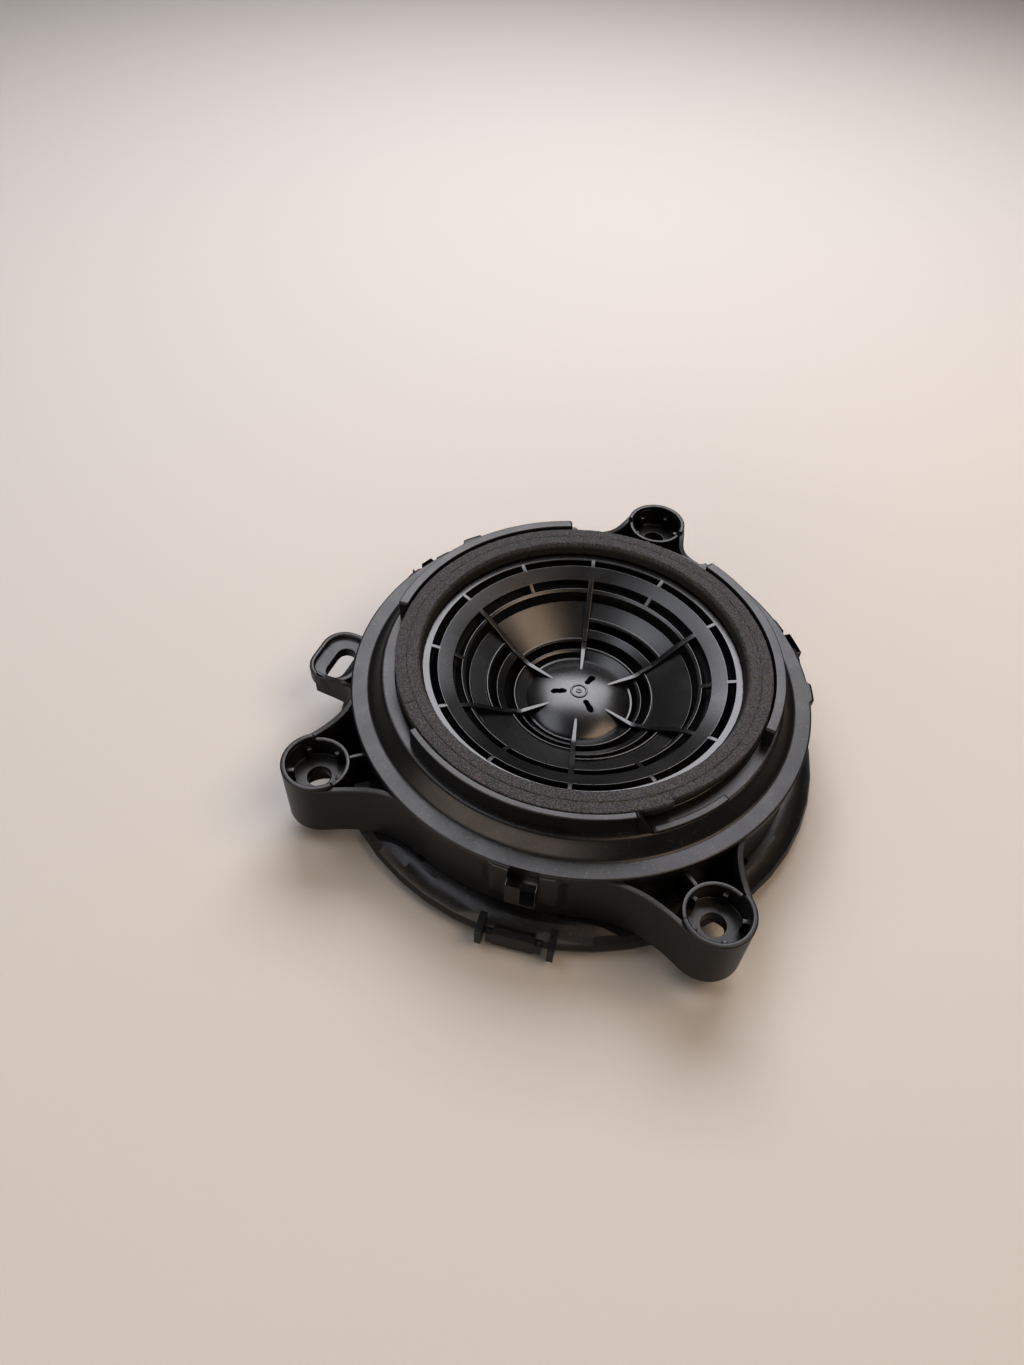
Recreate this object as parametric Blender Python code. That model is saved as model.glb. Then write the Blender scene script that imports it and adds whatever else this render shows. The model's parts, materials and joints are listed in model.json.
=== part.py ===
"""Automotive midrange loudspeaker module: mounting ring, acoustic lens grille, driver and rear housing.

All lengths below are in millimetres and angles in degrees; MM turns them into metres.
The speaker axis is Z, the rear face of the housing rests on z = 0 and the sound leaves along +Z.
"""
import bpy
import bmesh
from math import atan2, cos, degrees, hypot, pi, radians, sin

MM = 0.001

# driving dimensions of the moulded ring
FLANGE_Z = 27.0
FLANGE_R = 60.0
SKIRT_R = 59.2
SKIRT_Z0 = 8.3
LOW_WALL_Z = 31.2
HIGH_WALL_Z = 36.8
COLLAR_R = 51.4
# each screw boss: direction, centre radius, web reach on either side, skew of its stiffening rib
BOSSES = ((90.0, 70.8, 17.0, 17.0, 0.0), (225.0, 71.5, 20.0, 24.0, -6.0), (315.0, 71.5, 27.0, 19.0, 6.0))
BOSS_OD = 16.4
BOSS_ID = 14.0
BOSS_TOP_Z = 24.2
BOSS_BASE_Z = 7.2
BOSS_FLOOR_TOP = 18.6
BOSS_FLOOR_BASE = 15.8
BOSS_HOLE_D = 5.8
CRUSH_RIBS = 5
WEB_R = 8.2
TAB_Z = 21.6
TAB_BOX = (-57.0, -70.6, -24.5, -6.2)
SLOT_CENTRE = (-63.1, -16.6)
SNAP_ANGLES = (37.3, 157.3, 277.3)
SCREW_R = 46.4
CLIP_ANGLE = 277.7
SOCKET_Y = 47.0
PIN_X = (-3.5, 3.5)
SCREW_ANGLES = (0.0, 90.0, 180.0, 270.0)

# lens grille
LENS_SPOKE_ANGLES = (45.0, 105.0, 165.0, 225.0, 285.0, 345.0)
WIDE_SECTORS = (135.0, 255.0, 15.0)
NARROW_SECTORS = (75.0, 195.0, 315.0)


def clear_scene():
    for obj in list(bpy.data.objects):
        bpy.data.objects.remove(obj, do_unlink=True)
    for block in list(bpy.data.meshes):
        bpy.data.meshes.remove(block)
    for block in list(bpy.data.materials):
        bpy.data.materials.remove(block)


def material(name, rgb, rough, metal=0.0):
    mat = bpy.data.materials.new(name)
    mat.use_nodes = True
    node = mat.node_tree.nodes["Principled BSDF"]
    node.inputs["Base Color"].default_value = (*rgb, 1.0)
    node.inputs["Roughness"].default_value = rough
    node.inputs["Metallic"].default_value = metal
    mat.diffuse_color = (*rgb, 1.0)
    return mat


def to_object(name, bm):
    bmesh.ops.remove_doubles(bm, verts=bm.verts, dist=1e-6)
    bmesh.ops.recalc_face_normals(bm, faces=bm.faces)
    mesh = bpy.data.meshes.new(name)
    bm.to_mesh(mesh)
    bm.free()
    obj = bpy.data.objects.new(name, mesh)
    bpy.context.scene.collection.objects.link(obj)
    return obj


def revolve(name, profile, steps, start=0.0, sweep=360.0):
    """Turn a closed (radius, height) outline about Z, all round or through a sector."""
    bm = bmesh.new()
    c, s = cos(radians(start)), sin(radians(start))
    verts = [bm.verts.new((r * c * MM, r * s * MM, z * MM)) for r, z in profile]
    full = abs(sweep - 360.0) < 1e-6
    if full:
        edges = [bm.edges.new((verts[i], verts[(i + 1) % len(verts)])) for i in range(len(verts))]
        geom = verts + edges
    else:
        face = bm.faces.new(verts)
        geom = [face] + list(bm.verts) + list(bm.edges)
    bmesh.ops.spin(bm, geom=geom, cent=(0, 0, 0), axis=(0, 0, 1), angle=radians(sweep),
                   steps=steps, use_merge=full, use_duplicate=False)
    bmesh.ops.remove_doubles(bm, verts=bm.verts, dist=1e-7)
    bmesh.ops.dissolve_degenerate(bm, dist=1e-7, edges=bm.edges)
    return to_object(name, bm)


def open_revolve(name, profile, steps, start=0.0):
    """Turn an outline whose two ends lie on the axis, such as a disc or a dome."""
    bm = bmesh.new()
    c, s = cos(radians(start)), sin(radians(start))
    verts = [bm.verts.new((r * c * MM, r * s * MM, z * MM)) for r, z in profile]
    edges = [bm.edges.new((verts[i], verts[i + 1])) for i in range(len(verts) - 1)]
    bmesh.ops.spin(bm, geom=verts + edges, cent=(0, 0, 0), axis=(0, 0, 1), angle=2 * pi,
                   steps=steps, use_merge=True, use_duplicate=False)
    bmesh.ops.remove_doubles(bm, verts=bm.verts, dist=1e-7)
    return to_object(name, bm)


def prism(name, outline, z0, z1):
    """Raise a plan outline of (x, y) points from z0 to z1; either height may be a list per point."""
    n = len(outline)
    lows = z0 if isinstance(z0, (list, tuple)) else [z0] * n
    tops = z1 if isinstance(z1, (list, tuple)) else [z1] * n
    bm = bmesh.new()
    low = [bm.verts.new((x * MM, y * MM, z * MM)) for (x, y), z in zip(outline, lows)]
    top = [bm.verts.new((x * MM, y * MM, z * MM)) for (x, y), z in zip(outline, tops)]
    bm.faces.new(low)
    bm.faces.new(list(reversed(top)))
    for i in range(n):
        j = (i + 1) % n
        bm.faces.new((low[i], top[i], top[j], low[j]))
    return to_object(name, bm)


def polar(r, a):
    return (r * cos(radians(a)), r * sin(radians(a)))


def circle(cx, cy, r, n, start=0.0):
    return [(cx + r * cos(radians(start + 360.0 * k / n)), cy + r * sin(radians(start + 360.0 * k / n)))
            for k in range(n)]


def arc_box(name, r0, r1, a0, a1, z0, z1, steps=8):
    return revolve(name, [(r0, z0), (r1, z0), (r1, z1), (r0, z1)], steps, a0, a1 - a0)


def local_box(name, angle, r0, r1, t0, t1, z0, z1):
    """A box set radially at an angle: r outward, t tangential (anticlockwise), z up."""
    c, s = cos(radians(angle)), sin(radians(angle))
    outline = [(r * c - t * s, r * s + t * c) for r, t in ((r0, t0), (r1, t0), (r1, t1), (r0, t1))]
    return prism(name, outline, z0, z1)


def plan_box(name, x0, x1, y0, y1, z0, z1):
    return prism(name, [(x0, y0), (x1, y0), (x1, y1), (x0, y1)], z0, z1)


def merge_meshes(name, objs):
    """Gather separate pieces that don't touch into one object."""
    bm = bmesh.new()
    for obj in objs:
        bm.from_mesh(obj.data)
        bpy.data.objects.remove(obj, do_unlink=True)
    mesh = bpy.data.meshes.new(name)
    bm.to_mesh(mesh)
    bm.free()
    merged = bpy.data.objects.new(name, mesh)
    bpy.context.scene.collection.objects.link(merged)
    return merged


def weld(obj):
    """Join the hair-thin leftovers that a Boolean can leave on crossing edges."""
    bm = bmesh.new()
    bm.from_mesh(obj.data)
    bmesh.ops.remove_doubles(bm, verts=bm.verts, dist=4e-6)
    bmesh.ops.dissolve_degenerate(bm, dist=4e-6, edges=bm.edges)
    bm.to_mesh(obj.data)
    bm.free()


def combine(target, tool, operation):
    """One exact Boolean of target with tool; the tool is used up."""
    mod = target.modifiers.new("join", "BOOLEAN")
    mod.operation = operation
    mod.solver = "EXACT"
    mod.object = tool
    with bpy.context.temp_override(object=target, active_object=target):
        bpy.ops.object.modifier_apply(modifier=mod.name)
    bpy.data.objects.remove(tool, do_unlink=True)
    weld(target)
    return target


def add(target, tool):
    return combine(target, tool, "UNION")


def cut(target, tool):
    return combine(target, tool, "DIFFERENCE")


def finish(obj, mat, angle=30.0):
    obj.data.materials.clear()
    obj.data.materials.append(mat)
    for poly in obj.data.polygons:
        poly.use_smooth = True
    obj.data.set_sharp_from_angle(angle=radians(angle))
    return obj


def bezier(p0, p1, p2, p3, n):
    pts = []
    for k in range(n + 1):
        t = k / n
        w = ((1 - t) ** 3, 3 * t * (1 - t) ** 2, 3 * t * t * (1 - t), t ** 3)
        pts.append(tuple(sum(wi * p[a] for wi, p in zip(w, (p0, p1, p2, p3))) for a in (0, 1)))
    return pts


def strip(name, path, width, z0, tops):
    """An upright wall that follows a plan path, with its own top height at every point."""
    left, right = [], []
    for i, (x, y) in enumerate(path):
        xa, ya = path[max(i - 1, 0)]
        xb, yb = path[min(i + 1, len(path) - 1)]
        d = hypot(xb - xa, yb - ya)
        nx, ny = -(yb - ya) / d, (xb - xa) / d
        left.append((x + nx * width / 2, y + ny * width / 2))
        right.append((x - nx * width / 2, y - ny * width / 2))
    outline = left + right[::-1]
    return prism(name, outline, z0, list(tops) + list(tops)[::-1])


# ---------------------------------------------------------------- mounting ring
def web_path(angle, circle_r, side, reach):
    """S-shaped plan line from the flange edge to the side of a screw boss."""
    cx, cy = polar(circle_r, angle)
    a0 = angle + side * reach
    p0 = polar(SKIRT_R - 0.3, a0)
    tangent = radians(a0 - side * 90.0)
    touch = radians(angle + side * 97.0)
    p3 = (cx + WEB_R * cos(touch), cy + WEB_R * sin(touch))
    pull = 0.42 * hypot(p0[0] - p3[0], p0[1] - p3[1])
    back = radians(angle + 180.0 - side * 42.0)
    p1 = (p0[0] + pull * cos(tangent), p0[1] + pull * sin(tangent))
    p2 = (p3[0] + pull * cos(back), p3[1] + pull * sin(back))
    return bezier(p0, p1, p2, p3, 7)


def build_boss(ring, angle, circle_r, reach_minus, reach_plus, rib_skew):
    cx, cy = polar(circle_r, angle)
    for side, reach in ((-1, reach_minus), (1, reach_plus)):
        path = web_path(angle, circle_r, side, reach)
        drop = FLANGE_Z - 0.6 - BOSS_TOP_Z
        tops = [FLANGE_Z - 0.6 - drop * min(1.0, k / 5) for k in range(8)]
        add(ring, strip("web", path, 1.8, BOSS_BASE_Z, tops))
    rib = radians(angle + 180.0 + rib_skew)
    add(ring, strip("rib", [(cx + r * cos(rib), cy + r * sin(rib)) for r in (7.5, 13.1)], 1.3, 12.6,
                    [BOSS_TOP_Z - 0.5] * 2))
    add(ring, prism("cup", circle(cx, cy, BOSS_OD / 2, 24, 4.1), BOSS_BASE_Z, BOSS_TOP_Z - 0.2))
    outer = [(cx + r * cos(radians(a)), cy + r * sin(radians(a)))
             for r, span in ((BOSS_OD / 2 + 0.45, range(-102, 103, 17)), (BOSS_OD / 2 - 0.8, range(102, -103, -17)))
             for a in (angle + b for b in span)]
    add(ring, prism("rim_step", outer, BOSS_BASE_Z + 0.3, BOSS_TOP_Z + 1.0))
    cut(ring, prism("bore", circle(cx, cy, BOSS_ID / 2, 24, 9.3), BOSS_FLOOR_TOP, BOSS_TOP_Z + 2.0))
    cut(ring, prism("hole", circle(cx, cy, BOSS_HOLE_D / 2, 16, 5.3), BOSS_BASE_Z - 1.0, BOSS_TOP_Z))
    cut(ring, prism("under", circle(cx, cy, BOSS_ID / 2, 24, 9.3), BOSS_BASE_Z - 1.0, BOSS_FLOOR_BASE))
    for k in range(CRUSH_RIBS):
        a = angle + 58.0 + 360.0 * k / CRUSH_RIBS
        inner = ((5.8, -0.55), (7.35, -0.55), (7.35, 0.55), (5.8, 0.55))
        c, s = cos(radians(a)), sin(radians(a))
        add(ring, prism("crush_rib", [(cx + r * c - t * s, cy + r * s + t * c) for r, t in inner],
                        BOSS_FLOOR_TOP - 0.7, BOSS_TOP_Z - 1.6))


def rounded_lug(x0, x1, y0, y1, corner, n=5):
    """Plan outline open towards +X with its two far corners rounded."""
    pts = [(x0, y0), (x0, y1)]
    for cx, cy, a0 in ((x1 + corner, y1 - corner, 90), (x1 + corner, y0 + corner, 180)):
        pts += [(cx + corner * cos(radians(a0 + 90 * k / n)), cy + corner * sin(radians(a0 + 90 * k / n)))
                for k in range(n + 1)]
    return pts


def build_tab(ring):
    """Slotted lug below the flange, with a raised rim round its slot."""
    x_in, x_out, y_low, y_high = TAB_BOX
    add(ring, prism("tab", rounded_lug(x_in, x_out, y_low, y_high, 6.2), TAB_Z - 4.0, TAB_Z))
    cut(ring, prism("tab_pan", rounded_lug(-61.0, x_out + 1.3, y_low + 1.3, y_high - 1.3, 5.0),
                    TAB_Z - 1.3, TAB_Z + 2.0))
    sx, sy = SLOT_CENTRE
    slot = [(sx + 2.5 * cos(radians(a)), sy + off + 2.5 * sin(radians(a)))
            for off, span in ((2.9, range(0, 181, 20)), (-2.9, range(180, 361, 20))) for a in span]
    cut(ring, prism("tab_slot", slot, TAB_Z - 8.0, TAB_Z + 2.0))
    path = bezier((-66.6, -23.4), (-63.0, -23.8), (-57.5, -23.6), (-54.3, -25.2), 5)
    add(ring, strip("tab_web", path, 1.7, TAB_Z - 6.6, [TAB_Z, TAB_Z, TAB_Z + 0.4, TAB_Z + 1.0, 23.0, 24.2]))


def build_ring(mat):
    profile = [(57.8, SKIRT_Z0), (SKIRT_R, SKIRT_Z0), (SKIRT_R, 24.8), (FLANGE_R, 24.8), (FLANGE_R, 26.6),
               (59.6, FLANGE_Z), (55.6, FLANGE_Z), (55.0, 27.3), (52.6, 30.3), (52.1, 31.0),
               (COLLAR_R, LOW_WALL_Z), (48.3, LOW_WALL_Z), (48.3, 30.6), (44.6, 30.6), (44.6, 28.8),
               (50.3, 28.8), (50.3, 25.9), (51.4, 24.8), (57.8, 24.8)]
    ring = revolve("mounting_ring", profile, 64, 1.7)
    # raised rim walls that locate the foam gasket
    add(ring, arc_box("wall_a", 48.6, 51.2, 113.4, 184.0, 30.9, HIGH_WALL_Z, 13))
    add(ring, arc_box("wall_b", 48.6, 51.2, -7.0, 65.3, 30.9, HIGH_WALL_Z, 14))
    add(ring, arc_box("wall_c", 48.6, 50.3, 233.4, 306.2, 30.9, HIGH_WALL_Z - 0.3, 15))
    # flange edge teeth and notches
    for a0, a1, r in ((15.9, 21.8, 61.0), (138.5, 144.5, 61.9)):
        add(ring, arc_box("tooth", 58.3, r, a0, a1, 22.4, 26.7, 3))
    cut(ring, arc_box("narrow_edge", 58.4, 62.0, 72.0, 110.5, 24.0, 28.0, 12))
    # snap lips with their windows
    lip = [(58.1, 15.0), (60.9, 15.0), (60.9, 25.6), (60.3, 26.6), (59.0, 26.9), (58.1, 26.9)]
    for a in SNAP_ANGLES:
        add(ring, revolve("snap_lip", lip, 6, a - 9.7, 19.4))
        cut(ring, local_box("snap_window", a, 56.0, 63.0, -3.6, 3.6, 16.4, 24.4))
        cut(ring, local_box("snap_mouth", a, 59.5, 63.0, -3.4, 3.4, 17.1, 28.0))
    for angle, circle_r, reach_minus, reach_plus, skew in BOSSES:
        build_boss(ring, angle, circle_r, reach_minus, reach_plus, skew)
    build_tab(ring)
    for a in SCREW_ANGLES:
        x, y = polar(SCREW_R, a)
        cut(ring, prism("pilot", circle(x, y, 1.35, 12, 7.0), 28.0, 31.0))
    return finish(ring, mat)


# ---------------------------------------------------------------- rear housing
def lobe(name, angle, circle_r, reaches, grow, r_in, z0):
    """Plan region taken by a boss and its two webs, grown outwards, from z0 upwards."""
    rows = []
    for side, reach in zip((-1, 1), reaches):
        path = web_path(angle, circle_r, side, reach)
        lead = angle + side * (reach + degrees((1.0 + grow) / FLANGE_R))
        row = [polar(r_in, lead), polar(SKIRT_R - 0.3 + grow, lead)]
        for (xa, ya), (xb, yb) in zip(path, path[1:]):
            d = hypot(xb - xa, yb - ya)
            row.append(((xa + xb) / 2 - side * grow * (yb - ya) / d, (ya + yb) / 2 + side * grow * (xb - xa) / d))
        rows.append(row)
    far = [polar(82.0, angle - 9.0), polar(82.0, angle + 9.0)]
    start, end = angle + reaches[1], angle - reaches[0]
    inside = [polar(r_in, start + (end - start) * k / 5) for k in range(6)]
    return prism(name, rows[0] + far + rows[1][::-1] + inside, z0, 30.0)


def build_housing(mat, pin_mat):
    outer = [(0.0, 0.0), (60.0, 0.0), (63.4, 0.7), (65.5, 2.1), (66.0, 3.8), (65.4, 5.6), (63.8, 7.1),
             (61.6, 7.9), (60.0, 8.0), (57.3, 8.0), (57.3, 18.6), (0.0, 18.6)]
    inner = [(0.0, 2.0), (60.0, 2.0), (62.9, 2.6), (63.9, 3.9), (62.9, 5.3), (60.9, 6.0), (55.5, 6.1),
             (55.5, 20.0), (0.0, 20.0)]
    body = open_revolve("rear_housing", outer, 48, 1.3)
    hollow = open_revolve("hollow", inner, 48, 1.3)
    for angle, circle_r, reach_minus, reach_plus, _ in BOSSES:
        reaches = (reach_minus, reach_plus)
        cut(body, lobe("recess", angle, circle_r, reaches, 1.35, 57.55, BOSS_BASE_Z - 0.4))
        cut(hollow, lobe("recess", angle, circle_r, reaches, 3.2, 55.9, BOSS_BASE_Z - 2.3))
    cut(body, hollow)
    for a in SNAP_ANGLES:
        add(body, local_box("tongue", a, 55.6, 57.2, -3.2, 3.2, 17.6, 23.8))
        hook = [(57.0, 18.4), (58.9, 19.0), (58.9, 20.0), (57.0, 23.6)]
        half = 3.1 / 58.0 * 180.0 / pi
        add(body, revolve("hook", hook, 3, a - half, 2 * half))
    # harness clip: a low plate against the bowl between two ribs
    for t in (-8.8, 8.8):
        add(body, local_box("clip_rib", CLIP_ANGLE, 62.3, 68.0, t - 0.8, t + 0.8, 2.2, 7.9))
    add(body, local_box("clip_plate", CLIP_ANGLE, 65.1, 67.0, -5.6, 4.6, 1.7, 7.2))
    add(body, local_box("clip_shoulders", CLIP_ANGLE, 65.3, 66.8, -7.2, 6.4, 1.9, 5.9))
    # connector socket, sunk into the rear face with its pins inside
    x_half, y_low, y_high = 9.0, SOCKET_Y - 5.5, SOCKET_Y + 5.5
    add(body, plan_box("socket", -x_half, x_half, y_low, y_high, 1.0, 11.5))
    cut(body, plan_box("socket_mouth", -7.0, 7.0, SOCKET_Y - 4.0, SOCKET_Y + 4.0, -1.0, 9.5))
    for x in PIN_X:
        cut(body, plan_box("pin_way", x - 0.75, x + 0.75, SOCKET_Y - 1.55, SOCKET_Y + 1.55, 9.0, 12.5))
    for name, x in zip(("connector_pin_a", "connector_pin_b"), PIN_X):
        pin = finish(plan_box(name, -0.4, 0.4, -1.2, 1.2, 1.6, 14.0), pin_mat)
        pin.location = (x * MM, SOCKET_Y * MM, 0.0)
    return finish(body, mat)


# ---------------------------------------------------------------- lens grille
LENS_TOP = ((47.8, 32.4), (40.4, 32.5), (35.5, 31.1), (29.7, 27.9), (24.6, 24.0), (20.6, 21.2),
            (14.2, 17.8), (13.3, 17.8), (8.4, 20.0), (0.0, 21.0))


def lens_height(r):
    pts = LENS_TOP
    for (ra, za), (rb, zb) in zip(pts, pts[1:]):
        if rb <= r <= ra:
            return zb + (za - zb) * (r - rb) / (ra - rb)
    return pts[0][1]


def sector_cutters(r0, r1, sectors, half_bar, zlo=10.0, zhi=36.0):
    """Slot cutters between two radii; each sector is (start angle, end angle)."""
    tools = []
    for a0, a1 in sectors:
        pts = []
        inner = [a0 + 10.0 * k for k in range(1, int(round((a1 - a0) / 10.0)))]
        for r, rev in ((r0, False), (r1, True)):
            trim = half_bar / r * 180.0 / pi
            row = [polar(r, a) for a in [a0 + trim] + inner + [a1 - trim]]
            pts += row[::-1] if rev else row
        tools.append(prism("slot", pts, zlo, zhi))
    return tools


def build_lens(mat):
    thick = 1.2
    top = [(r, z) for r, z in LENS_TOP]
    under = [(47.8, 30.9), (39.8, 30.9)]
    under += [(r, z - thick) for r, z in LENS_TOP[2:]]
    lens = open_revolve("lens_grille", top[::-1] + under, 40, 3.3)
    twelve = [(a, a + 30.0) for a in range(15, 375, 30)]
    six = [(a, a + 60.0) for a in LENS_SPOKE_ANGLES]
    narrow = [(a - 30.0, a + 30.0) for a in NARROW_SECTORS]
    wide = [(a - 30.0, a + 30.0) for a in WIDE_SECTORS]
    tools = sector_cutters(37.6, 39.4, twelve, 0.65)
    tools += sector_cutters(31.4, 33.5, twelve, 0.65)
    tools += sector_cutters(28.2, 30.3, six, 0.6)
    tools += sector_cutters(22.0, 24.0, narrow, 0.6)
    tools += sector_cutters(17.3, 19.9, narrow, 0.6)
    tools += sector_cutters(16.9, 18.9, wide, 0.6)
    tools += sector_cutters(14.6, 15.9, wide, 0.6)
    for k, a in enumerate((200.0, 75.0, 318.0)):
        c, s = cos(radians(a)), sin(radians(a))
        pts = [(5.4 + d + 0.7 * cos(radians(b)), 0.7 * sin(radians(b)))
               for d, span in ((1.3, range(-90, 91, 30)), (-1.3, range(90, 271, 30))) for b in span]
        tools.append(prism("gate_slot", [(x * c - y * s, x * s + y * c) for x, y in pts], 10.0, 36.0))
    cut(lens, merge_meshes("slots", tools))
    # deep thin spokes that fade out on the dome
    for a in LENS_SPOKE_ANGLES:
        c, s = cos(radians(a)), sin(radians(a))
        radii = (8.8, 11.6, 13.9, 20.3, 24.9, 29.4, 34.0)
        tops = [lens_height(r) + (0.5 if 12.0 < r < 31.0 else 0.05) for r in radii]
        bm = bmesh.new()
        rings = []
        for r, zt in zip(radii, tops):
            depth = 0.7 if r < 12.0 else 1.75
            rings.append([bm.verts.new(((r * c - t * s) * MM, (r * s + t * c) * MM, z * MM))
                          for t, z in ((-0.5, zt - depth), (0.5, zt - depth), (0.5, zt), (-0.5, zt))])
        for low, high in zip(rings, rings[1:]):
            for i in range(4):
                bm.faces.new((low[i], low[(i + 1) % 4], high[(i + 1) % 4], high[i]))
        bm.faces.new(rings[0])
        bm.faces.new(rings[-1])
        add(lens, to_object("spoke", bm))
    return finish(lens, mat, 25.0)


# ---------------------------------------------------------------- gaskets
def build_gaskets(foam, fibre):
    finish(revolve("gasket_inner_ring", [(42.3, 32.8), (45.0, 32.8), (45.0, 36.0), (44.7, 36.3), (42.6, 36.3),
                                         (42.3, 36.0)], 48), foam)
    outer = [(45.4, 32.7), (48.2, 32.7), (48.2, 35.9), (47.9, 36.2), (45.7, 36.2), (45.4, 35.9)]
    finish(revolve("gasket_outer_strip_a", outer, 12, 224.4, 89.9), foam)
    finish(revolve("gasket_outer_strip_b", outer, 36, 314.7, 269.3), foam)
    finish(revolve("surround_clamp_ring", [(39.7, 28.3), (42.4, 28.3), (42.4, 30.6), (39.7, 30.6)], 40), fibre)


# ---------------------------------------------------------------- driver
def shell(upper, thick):
    """Close a thin wall under an upper line of (radius, height) points."""
    return list(upper) + [(r, z - thick) for r, z in reversed(upper)]


def build_driver(mats):
    basket = [(48.0, 28.5), (42.9, 28.5), (42.7, 27.2), (39.6, 27.2), (39.4, 24.8), (25.4, 12.6),
              (24.6, 11.2), (21.0, 11.2), (19.2, 10.0), (15.9, 10.0), (15.9, 5.4), (17.9, 5.4), (19.4, 8.2),
              (26.2, 10.4), (41.0, 23.6), (42.6, 26.5), (48.0, 26.5)]
    frame = revolve("driver_basket", basket, 36, 3.3)
    windows = sector_cutters(27.1, 37.1, [(a, a + 60.0) for a in range(15, 375, 60)], 3.6, 5.0, 40.0)
    cut(frame, merge_meshes("windows", windows))
    for a in SCREW_ANGLES:
        x, y = polar(SCREW_R, a)
        cut(frame, prism("clearance", circle(x, y, 1.35, 12, 7.0), 25.0, 30.0))
    finish(frame, mats["steel_black"])

    for k, a in enumerate(SCREW_ANGLES):
        name = "basket_screw_" + str(k + 1)
        screw = open_revolve(name, [(0.0, 24.6), (1.7, 24.6), (2.2, 25.1), (2.2, 26.2), (1.0, 26.2),
                                    (1.0, 30.2), (0.6, 30.6), (0.0, 30.6)], 10)
        cut(screw, plan_box("drive", -1.3, 1.3, -0.25, 0.25, 24.0, 25.2))
        cut(screw, plan_box("drive", -0.25, 0.25, -1.3, 1.3, 24.0, 25.2))
        finish(screw, mats["zinc"])
        screw.location = (SCREW_R * MM * cos(radians(a)), SCREW_R * MM * sin(radians(a)), 0.0)

    roll = [(42.4, 28.0), (39.5, 28.0)]
    roll += [(36.9 + 2.2 * cos(radians(a)), 27.6 - 2.2 * sin(radians(a))) for a in range(15, 166, 37)]
    roll += [(34.6, 27.2), (33.0, 26.5)]
    finish(revolve("surround", shell(roll, 0.4), 40), mats["rubber"])

    line = [(34.7, 26.45), (33.0, 25.75), (28.0, 21.8), (20.0, 16.2), (15.6, 14.2), (12.6, 13.7)]
    finish(revolve("cone", shell(line, 0.5), 40), mats["pulp"])
    cap = [(0.0, 15.7), (6.0, 15.3), (11.8, 14.2), (11.8, 13.8), (6.0, 14.9), (0.0, 15.3)]
    finish(open_revolve("dust_cap", cap, 30), mats["pulp"])
    finish(revolve("coil_former", [(12.0, 6.0), (12.25, 6.0), (12.25, 13.5), (12.0, 13.5)], 30), mats["foil"])
    finish(revolve("coil_winding", [(12.55, 6.3), (12.95, 6.3), (12.95, 10.3), (12.55, 10.3)], 30), mats["copper"])
    wave = [(24.3, 11.9), (21.2, 11.9)]
    wave += [(20.2 - 1.1 * k, 11.75 + (0.45 if k % 2 else -0.25)) for k in range(0, 7)]
    wave += [(12.6, 11.8)]
    finish(revolve("spider", shell(wave, 0.3), 30), mats["cloth"])

    cup = [(0.0, 2.4), (15.0, 2.4), (15.6, 3.0), (15.6, 9.4), (13.7, 9.4), (13.7, 4.2), (0.0, 4.2)]
    finish(open_revolve("yoke_cup", cup, 30), mats["zinc"])
    finish(open_revolve("magnet", [(0.0, 4.5), (10.5, 4.5), (10.8, 4.8), (10.8, 6.8), (10.5, 7.1), (0.0, 7.1)], 30),
           mats["nickel"])
    finish(open_revolve("top_plate", [(0.0, 7.4), (11.3, 7.4), (11.3, 9.4), (0.0, 9.4)], 30), mats["zinc"])


def build_leads(copper, brass):
    """Two braided leads that loop from the cone neck to tags on the basket."""
    path = [(16.6, 13.55), (18.2, 13.1), (20.2, 12.95), (22.2, 13.4), (23.6, 14.3)]
    round_wire = [(0.3 * cos(radians(a)), 0.3 * sin(radians(a))) for a in range(0, 360, 45)]
    for letter, turn in (("a", 172.0), ("b", 188.0)):
        bm = bmesh.new()
        rings = [[bm.verts.new((r * MM, t * MM, (z + h) * MM)) for t, h in round_wire] for r, z in path]
        for low, high in zip(rings, rings[1:]):
            for i in range(8):
                j = (i + 1) % 8
                bm.faces.new((low[i], low[j], high[j], high[i]))
        bm.faces.new(rings[0])
        bm.faces.new(rings[-1])
        wire = finish(to_object("lead_wire_" + letter, bm), copper)
        tag = finish(plan_box("lead_tag_" + letter, 24.3, 24.9, -1.2, 1.2, 12.5, 15.6), brass)
        for obj in (wire, tag):
            obj.rotation_euler = (0.0, 0.0, radians(turn))


def gather_moving(names):
    """The pieces that travel together hang from one empty on the slide axis."""
    carrier = bpy.data.objects.new("moving_assembly_axis", None)
    bpy.context.scene.collection.objects.link(carrier)
    for name in names:
        bpy.data.objects[name].parent = carrier


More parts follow.
